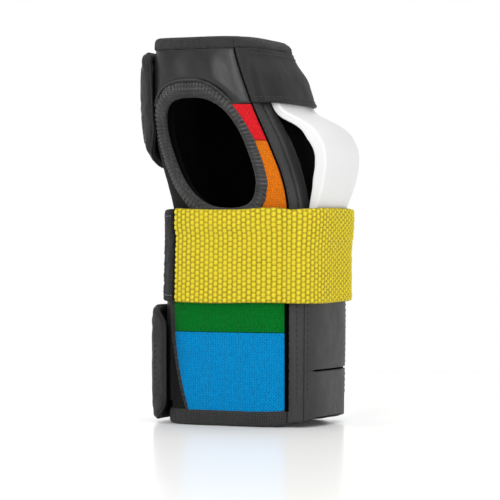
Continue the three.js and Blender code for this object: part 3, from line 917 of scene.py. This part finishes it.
heel = cover("palm_cover_heel_skin", "palm_cover_heel", 0.9, lambda t: SLIT - 0.04 - float(slit_gap(t)))
wrist = cover("palm_cover_wrist_skin", "palm_cover_wrist", lambda t: SLIT + 0.04 + float(slit_gap(t)),
              STRAP_LOW + 2.5)
g = Sheet(SLIT - 2, SLIT + 2, -26, 31, 1.5)
lift = cover_lift(g.T, g.Z)
make("palm_slit_lining", g.build(lift - 0.3, lift + 0.1), "lining_black")

palm_side = [heel, wrist]
for side, word in SIDES:
    span = mirrored(side, welt_edge, seam)
    palm_side.append(panel(
        f"{word}_welt_lower_skin", "leatherette_grey", f"{word}_welt_lower", 0.9, STRAP_LOW + 2.5, *span,
        lift=cover_lift, thick=1.3, puff=0.3, radius=0.7, under=0.2, wrinkle=0.12, step=0.7,
        groove=lambda z: side * welt_stitch(z)))
    palm_side.append(panel(
        f"{word}_welt_upper_skin", "leatherette_grey", f"{word}_welt_upper", STRAP_HIGH - 3, RED_TOP + 1.2,
        *span, puff=0.4, wrinkle=0.3, step=0.8, groove=lambda z: side * upper_stitch(z)))
    if side < 0:
        cut_hole(palm_side[-1])

g = Sheet(RED_TOP + 0.4, TOP + 0.6, lambda z: -seam(z), seam, 1.1)
lift = pocket_lift(g.T, g.Z)
fold = 0.55 * bell(g.Z - RED_TOP - 1.6, 1.2) - 0.35 * bell(g.Z - RED_TOP - 3.6, 0.5)
outer = lift + 1.25 * roll(g.edge, 0.9) + 0.4 * swell(g.side, 5) + fold + g.wrinkles(0.35, 26, 21, 6, 0.6)
# the pocket uses the darker leatherette copy: painted shade
palm_side.append(make("palm_pocket_skin", g.build(lift - 0.3, outer), "pad_grey", "palm_pocket_hand"))


# ---------------- splints
# height, reach to the palm and half width of the white plate, from its lower end
SPLINT = np.array([
    [26, 42.9, 13], [28, 42.8, 19], [32, 42.8, 20.6], [62, 43.3, 21], [85, 43.5, 21], [100, 44.2, 20.8],
    [108, 45.1, 20.6], [114, 46, 20.8], [123, 49.7, 21.6], [133.6, 52.4, 22.6], [142, 52.8, 23.2],
    [148, 51.3, 23.6], [154.5, 47.4, 24.2], [159, 42.2, 24.4], [163, 34.4, 24.2], [166.5, 26.8, 23.6],
    [172, 24.1, 22.6], [177, 22.8, 22], [179.5, 22.2, 19.8], [181, 21.8, 14]])
SPLINT_THICK, SPLINT_STEPS = 4.0, 260
CORNER = [(0.0, 0.9), (0.12, 0.45), (0.45, 0.12), (1.0, 0.0)]


def splint_section(half, rim_depth):
    """Places across the plate and below its outer face, with a deeper rim down each side."""
    right = [(v, 0) for v in np.linspace(0, half - 2.5, 13)[1:]]
    right += [(half - a, d) for a, d in CORNER[::-1]] + [(half, rim_depth / 3), (half, rim_depth * 2 / 3)]
    right += [(half - a, rim_depth - d) for a, d in CORNER] + [(half - 2, rim_depth - 0.15)]
    right += [(half - 2.8, (rim_depth + SPLINT_THICK) / 2), (half - 3.8, SPLINT_THICK)]
    right += [(v, SPLINT_THICK) for v in np.linspace(half - 6, 0, 8)[:-1]]
    return np.array([(0, 0)] + right + [(0, SPLINT_THICK)] + [(-v, d) for v, d in right[::-1]])


def splint():
    run = lengths(SPLINT[:, :2])
    z, x, half = along(np.linspace(0, run[-1], SPLINT_STEPS), run, SPLINT).T
    x, z = eased(x + SHIFT, 3.4, 9), eased(z, 3.4, 9)
    half = np.minimum(np.where(half < 22, half, eased(half, 3.4, 9)), half + 0.3)
    dx, dz = np.gradient(x), np.gradient(z)
    size = np.hypot(dx, dz)
    deep = SPLINT_THICK + 2.6 * smooth(108, 130, z) * (1 - smooth(154, 163, z))
    sections = []
    for k in range(SPLINT_STEPS):
        across, down = splint_section(half[k], deep[k]).T
        down = down + 1.8 * (across / half[k]) ** 2 * min(half[k] / 22, 1)
        sections.append(np.stack([x[k] - dz[k] / size[k] * down, across, z[k] + dx[k] / size[k] * down], -1))
    piece = make("palm_splint_plate", hoop(np.stack(sections), False), "splint_white", "palm_splint")
    piece.data.set_sharp_from_angle(angle=math.radians(40))


splint()

g = Sheet(16, 110, *PATCH_SPAN, 2.0)
ribs = 0.25 * bell(np.abs(wrapped(g.T) - 175.5), 0.8) * np.clip(g.ends / 6, 0, 1)
outer = 0.5 + 1.6 * roll(g.edge, 0.8) - ribs
make("dorsal_splint_plate", g.build(0.5, outer), "splint_black", "dorsal_splint")

g = Sheet(12, 113, 150, 210, 1.8)
lift = back_lift(g.T, g.Z)
outer = lift + 0.8 * roll(g.edge, 0.8) + 0.3 * swell(g.edge, 4) + g.wrinkles(0.25, 26, 31)
make("dorsal_cover_skin", g.build(lift - 0.2, outer), "leatherette_grey", "dorsal_cover")


def patch(word, span, offset, body="sleeve", thick=0.8):
    g = Sheet(*span, *PATCH_SPAN, 1.0)
    outer = offset + thick * roll(g.edge, 0.5) + 0.08 * g.noise(2.2, 41)
    make(f"{word}_tape", g.build(offset, outer), "tape_black", f"{word}_patch", body=body)


patch("forearm_loop", FOREARM_PATCH, 3.85)
patch("wrist_loop", WRIST_PATCH, 3.85)
patch("hand_loop", HAND_PATCH, 0.4)


def seam_cord(name, low, high, width, proud, base):
    """A narrow folded tape over the seam between the canvas and the palm, on both sides, black both as the
    tape and as painted shadow in the seam's groove.
    """
    cords = []
    for side, _ in SIDES:
        g = Sheet(low, high, *mirrored(side, lambda z: angle(arc(seam(z)) - width / 2),
                                       lambda z: angle(arc(seam(z)) + width / 2)), 0.7, 1.2)
        ribs = 0.1 * np.sin(g.Z * 2 * np.pi / 1.5) * roll(g.side, 1)
        cords.append(g.build(base - 0.7, base + proud * roll(g.side, width / 2) + ribs))
    make(name, joined(cords), "lining_black")


seam_cord("seam_tape_and_shadow_lower", HEM - 0.5, STRAP_LOW + 1.5, 2.6, 1.15, 0.5)
seam_cord("seam_tape_and_shadow_upper", STRAP_HIGH - 2, TOP + 0.5, 1.1, 0.55, 0.6)


# ---------------- wrist strap
STRAP_START, STRAP_SPLIT, TAIL_END, TAB_END = -124.0, 112.0, 184.0, 235.0
WEB_WIDE, COLUMN, NUB = 50, 2.72, 2.8
WEB_STEP = 0.45

STRAP_T = fine_angles(-130, 240)
STRAP_ARC = lengths(skin(89, STRAP_T, strap_lift(STRAP_T, 89) + 2.4)[:, :2])


def webbing_mesh(start, end, margin_a=0.0, margin_b=0.0):
    """Webbing with rows of raised nubs, neighbouring columns half a nub apart."""
    run = np.linspace(start, end, int(round((end - start) / WEB_STEP)) + 1)
    up = np.linspace(0, 1, int(round(WEB_WIDE / WEB_STEP)) + 1)[:, None]
    t = np.interp(run, STRAP_ARC, STRAP_T)
    # slightly wavy edges
    low = 64.3 + 0.25 * np.sin(arc(t) / 9.0)
    high = np.interp(t, [-124, -104, -89, -75, -59, -47, -30, -15, 4, 60],
                     [114.2, 113.6, 113.2, 114.0, 114.0, 112.9, 113.6, 114.0, 114.2, 114.0])
    z = low + (high - low) * up
    run, t = (np.broadcast_to(v, z.shape) for v in (run, t))
    at = skin(z, t, 0)
    column = run / COLUMN + 0.03 * bump_noise(at, 9, 8, 2)
    row = (z - 64.4) / NUB + 0.5 * (np.floor(column) % 2) + 0.06 * bump_noise(at, 8, 10, 2)
    nub = np.sin(np.pi * (column % 1)) * np.sin(np.pi * (row % 1)) ** 0.7
    sizes = np.random.RandomState(7).uniform(0.72, 1.0, (400, 60))
    size = sizes[np.clip(np.floor(column).astype(int), 0, 399), np.clip(np.floor(row).astype(int), 0, 59)]
    edge = np.minimum(z - low, high - z)
    ends = np.minimum(run - start + margin_a, end - run + margin_b)
    inside = np.clip(np.minimum(edge, ends) / 1.1, 0, 1)
    height = 1.95 * roll(inside, 1) + 1.05 * nub * size * np.clip(inside * 1.5, 0, 1)
    height = height + 0.3 * bump_noise(at, 34, 6) * np.clip(edge / 6, 0, 1)
    # nub is returned for the colour, which puts painted shade between the nubs
    nub = nub * np.clip(inside * 2, 0, 1)
    base = strap_lift(t, z)
    mesh = solid(skin(z, t, base + 0.45 - 0.35 * nub), skin(z, t, base + 0.5 + height))
    return mesh, np.tile(nub.ravel(), 2)


strap_from, split, strap_to = np.interp([STRAP_START, STRAP_SPLIT, TAIL_END], STRAP_T, STRAP_ARC)
split = math.floor(split / COLUMN) * COLUMN
mesh, nubs = webbing_mesh(strap_from, split, margin_b=9)
paint(make("wrist_strap_webbing", mesh, "webbing_yellow", "wrist_strap"), "nub", nubs)
mesh, nubs = webbing_mesh(split, strap_to, margin_a=9)
tail = make("strap_tail_webbing", mesh, "webbing_yellow", "strap_tail", body=None)
paint(tail, "nub", nubs)


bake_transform(tail)

g = Sheet(64.6, 113.8, TAIL_END - 1.2, TAB_END - 0.5, 0.9)
lift = strap_lift(g.T, g.Z)
notch = 0.7 * bell(g.Z - 85, 2.2) * smooth(226, 235, g.T)
outer = lift + 0.4 + 1.9 * roll(g.edge, 1.4) - notch + g.wrinkles(0.22, 5, 51, 2)
tab = make("strap_tab_tape", g.build(lift + 0.2, outer), "tape_black", "strap_tab", body="strap_end")
sew("strap_tab_stitches", [level(68, 188, 231), level(110, 188, 231), upright(188.0, *WRIST_PATCH)],
    [tab, tail], "strap_end", "thread_grey")
patch("strap_hook", WRIST_PATCH, 5.0, "strap_end", 0.9)


# ---------------- padded flaps
PRESSURE, MOST_SWELL, CLOTH_FRAMES = 3.0, 0.7, 20


def inflate(piece, pins):
    """Swells a closed mesh with the cloth solver, its pinned points held, and keeps the result."""
    rest = np.array([v.co[:] for v in piece.data.vertices])
    group = piece.vertex_groups.new(name="held")
    for weight in np.unique(pins[pins > 0]):
        group.add(np.nonzero(pins == weight)[0].tolist(), float(weight), "REPLACE")
    cloth = piece.modifiers.new("cloth", "CLOTH")
    for key, value in (("vertex_group_mass", "held"), ("use_pressure", True),
                       ("uniform_pressure_force", PRESSURE), ("quality", 6), ("mass", 0.15),
                       ("tension_stiffness", 12), ("compression_stiffness", 12),
                       ("bending_stiffness", 0.6), ("shrink_min", -0.03)):
        setattr(cloth.settings, key, value)
    cloth.settings.effector_weights.gravity = 0
    cloth.collision_settings.use_collision = False
    cloth.point_cache.frame_start, cloth.point_cache.frame_end = 1, CLOTH_FRAMES
    for number in range(1, CLOTH_FRAMES + 1):
        bpy.context.scene.frame_set(number)
    shaped = piece.evaluated_get(bpy.context.evaluated_depsgraph_get())
    moved = np.array([v.co[:] for v in shaped.to_mesh().vertices]) - rest
    shaped.to_mesh_clear()
    size = np.linalg.norm(moved, axis=1)[:, None]
    moved *= np.minimum(1, MOST_SWELL / 1000 / np.maximum(size, 1e-9))
    piece.modifiers.clear()
    piece.vertex_groups.clear()
    piece.data.vertices.foreach_set("co", (rest + moved).astype(np.float32).ravel())
    piece.data.update()
    bpy.context.scene.frame_set(1)


def forearm_lift(t, z):
    far_side = np.where(t < 180, 1.8, 4.8)
    return 6.3 + (far_side - 6.3) * smooth(27, 48, 180 - wrapped(t))


def hand_lift(t, z):
    return 2.8 - 2.0 * smooth(24, 46, 180 - wrapped(t))


# Each flap is sewn on at root, is full from start to end, and has rounded free corners (low, high).
# The channel is the distance of its stitch line from the edge.
FLAPS = [
    SimpleNamespace(
        word="forearm", low=2.2, high=62.2, root=112, start=126, end=229.6, corners=(12.6, 12.6),
        lift=forearm_lift, thick=4.6, channel=5.2, seed=61, rows=(114.6, 117.4), rows_span=(6, 60),
        bend=((33, 117, 3), (33, 136, 3)), hook=(FOREARM_PATCH, 5.0, "forearm_closure", 1.3)),
    SimpleNamespace(
        word="hand", low=136.4, high=197.0, root=114, start=126, end=225, corners=(24, 12),
        lift=hand_lift, thick=5.6, channel=5.6, seed=62, rows=(116.4, 118.8), rows_span=(139, 192),
        bend=((165, 119, 2), (165, 136, 2)), hook=(HAND_PATCH, 1.65, "hand_closure", 1.2))]


def pad_stops(length):
    near = np.array([0, 0.5, 1.2])
    middle = np.linspace(2.2, length - 2.2, int((length - 4.4) / 2))
    return np.concatenate([near, middle, length - near[::-1]])


def pad(f):
    """The flap's padded body, swollen between its seams."""
    first, last = float(arc(f.root)), float(arc(f.end))
    run = first + pad_stops(last - first)
    up = (pad_stops(f.high - f.low) / (f.high - f.low))[:, None]
    away = last - run
    cut = [np.where(away < r, r - np.sqrt(np.clip(r * r - (r - away) ** 2, 0, None)), 0) for r in f.corners]
    bottom, top = f.low + cut[0], f.high - cut[1]
    z = bottom + (top - bottom) * up
    t = np.broadcast_to(angle(run), z.shape)
    side = np.minimum(np.minimum(z - bottom, top - z), np.minimum(run - first, away))
    fat = f.thick * (0.16 + 0.84 * smooth(f.start - 10, f.start + 5, t))
    middle = 0.9 + (f.lift(t, z) - 0.9) * smooth(f.start - 8, f.start + 4, t) + fat / 2
    crease = 1 - 0.22 * bell(side - f.channel, 1.0) * smooth(f.start, f.start + 12, t)
    half = fat / 2 * (0.32 + 0.68 * roll(side, f.thick * 0.62)) * crease * 0.94
    half = half + 0.07 * bump_noise(skin(z, t, 0), 18, f.seed) * np.clip(side / 5, 0, 1)
    # the flap uses the darker leatherette copy: painted shade
    piece = make(f"{f.word}_flap_pad", solid(skin(z, t, middle - half), skin(z, t, middle + half)),
                 "pad_grey", f"{f.word}_flap", body=None)
    held = np.where((side < 0.3) | (t < f.start + 4), 1.0, np.where(np.abs(side - f.channel) < 1.1, 0.9, 0))
    inflate(piece, np.append(np.ones(held.size), held))
    fine = piece.modifiers.new("fine", "SUBSURF")
    fine.levels = fine.render_levels = 1
    settle(piece)
    return piece


def outline(f, inset):
    """Heights and angles of a line that follows the flap's free edges, inset by millimetres."""
    first, last = float(arc(f.start + 8)), float(arc(f.end)) - inset
    turn = np.linspace(0, np.pi / 2, 24)
    sides = []
    for z, corner, up in ((f.low + inset, f.corners[0], 1), (f.high - inset, f.corners[1], -1)):
        r = max(corner - inset, 0.5)
        run = np.concatenate([np.linspace(first, last - r, 50), last - r + r * np.sin(turn)])
        height = np.concatenate([np.full(50, z), z + up * (r - r * np.cos(turn))])
        sides.append(np.stack([height, run], -1))
    height, run = np.concatenate([sides[0], sides[1][::-1]]).T
    return height, angle(run)


def trim(f, piece, body):
    """Stitches along the flap's channel and piping round its free edge."""
    sew(f"{f.word}_flap_stitches", [outline(f, f.channel)], [piece], body, radius=0.18, sink=0.12)
    z, t = outline(f, 0.15)
    middle = f.lift(t, z) + f.thick / 2
    line, at = even_line(skin(z, t, middle), 0.9)
    normals = along(at, np.linspace(0, 1, len(z)), skin(z, t, middle + 1) - skin(z, t, middle))
    # the piping uses the darker leatherette copy: painted shade
    make(f"{f.word}_flap_piping", tube(line, 0.85, 10, normals), "pad_grey", body=body)


pads = [pad(f) for f in FLAPS]
for f, piece in zip(FLAPS, pads):
    trim(f, piece, f"{f.word}_closure")
for f, piece in zip(FLAPS, pads):
    sew(f"{f.word}_flap_root_stitches", [upright(t, *f.rows_span) for t in f.rows], [piece])
for f, piece in zip(FLAPS, pads):
    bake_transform(piece)
for f in FLAPS:
    patch(f"{f.word}_hook", *f.hook)


# ---------------- seams on the sleeve
lower, upper = [], []
for side, _ in SIDES:
    lower += [upright(welt_stitch, HEM + 3.6, STRAP_LOW, 0, side),
              upright(welt_edge, HEM + 5.5, STRAP_LOW, -1.2, side),
              upright(seam, HEM + 1, STRAP_LOW, -1.0, side)]
    upper += [upright(seam, STRAP_HIGH, RED_TOP, -1.4, side), upright(seam, RED_TOP + 4, TOP, -1.4, side),
              upright(upper_stitch, STRAP_HIGH, RED_TOP, 0, side)]
upper += [level(RED_TOP + 3.6, -50, 50), level(TOP - 2.6, -52, 52)]
sew("palm_stitches", lower, palm_side)
sew("pocket_stitches", upper, palm_side)
sew("edge_tape_stitches", [upright(tape_stitch, HEM + 1, 62, 0, -1)], [edge_tape], slot="hem_grey")
for cutter in (CUTTER, CORE_CUTTER):
    bpy.data.objects.remove(cutter)


# ---------------- light, floor and camera
scene = bpy.context.scene
scene.view_settings.view_transform = "Standard"
scene.view_settings.look = "None"

# a white sky that dims upwards
world = bpy.data.worlds.new("studio")
world.use_nodes = True
nodes, links = world.node_tree.nodes, world.node_tree.links
place = nodes.new("ShaderNodeTexCoord")
parts = nodes.new("ShaderNodeSeparateXYZ")
fade = nodes.new("ShaderNodeMapRange")
for key, value in (("From Min", 0.12), ("From Max", 0.4), ("To Min", 1.0), ("To Max", 0.45)):
    fade.inputs[key].default_value = value
links.new(place.outputs["Generated"], parts.inputs[0])
links.new(parts.outputs[2], fade.inputs["Value"])
links.new(fade.outputs[0], nodes["Background"].inputs[1])
nodes["Background"].inputs[0].default_value = (1, 1, 1, 1)
scene.world = world

FLOOR_RADIUS = 0.5
turns = [k * math.pi / 48 for k in range(96)]
floor_mesh = bpy.data.meshes.new("floor")
floor_mesh.from_pydata([(FLOOR_RADIUS * math.cos(a), FLOOR_RADIUS * math.sin(a), 0) for a in turns],
                       [], [list(range(96))])
floor = bpy.data.objects.new("floor", floor_mesh)
scene.collection.objects.link(floor)
white = Shader("studio_floor", (0.96, 0.96, 0.96), 0.22, Specular_IOR_Level=0.08)
floor.data.materials.append(white.material)
floor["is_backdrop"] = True


def place_at(name, data, at, aim):
    held = bpy.data.objects.new(name, data)
    held.location = at
    held.rotation_euler = (Vector(aim) - Vector(at)).to_track_quat("-Z", "Y").to_euler()
    scene.collection.objects.link(held)
    return held


# name, place, size and power of each lamp
LAMPS = [("overhead", (0, -0.1, 1.2), (1.8, 1.8), 14), ("key", (0.15, -1.15, 0.55), (0.45, 0.6), 5),
         ("side", (1.1, -0.35, 0.5), (0.5, 0.8), 2.6), ("back", (-0.6, 0.9, 0.5), (0.6, 0.8), 0.8)]
for name, at, size, power_w in LAMPS:
    lamp = bpy.data.lights.new(name, "AREA")
    lamp.shape = "RECTANGLE"
    lamp.size, lamp.size_y = size
    lamp.energy = power_w
    place_at(name, lamp, at, (0, 0, 0.1))

AZIMUTH, LENS, REACH = math.radians(25), 161.2, 1.2
aim = Vector((0, 0, 0.092))
camera_data = bpy.data.cameras.new("camera")
camera_data.lens, camera_data.sensor_width = LENS, 36
eye = aim + REACH * Vector((math.sin(AZIMUTH), -math.cos(AZIMUTH), 0))
scene.camera = place_at("camera", camera_data, eye, aim)

low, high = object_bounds()
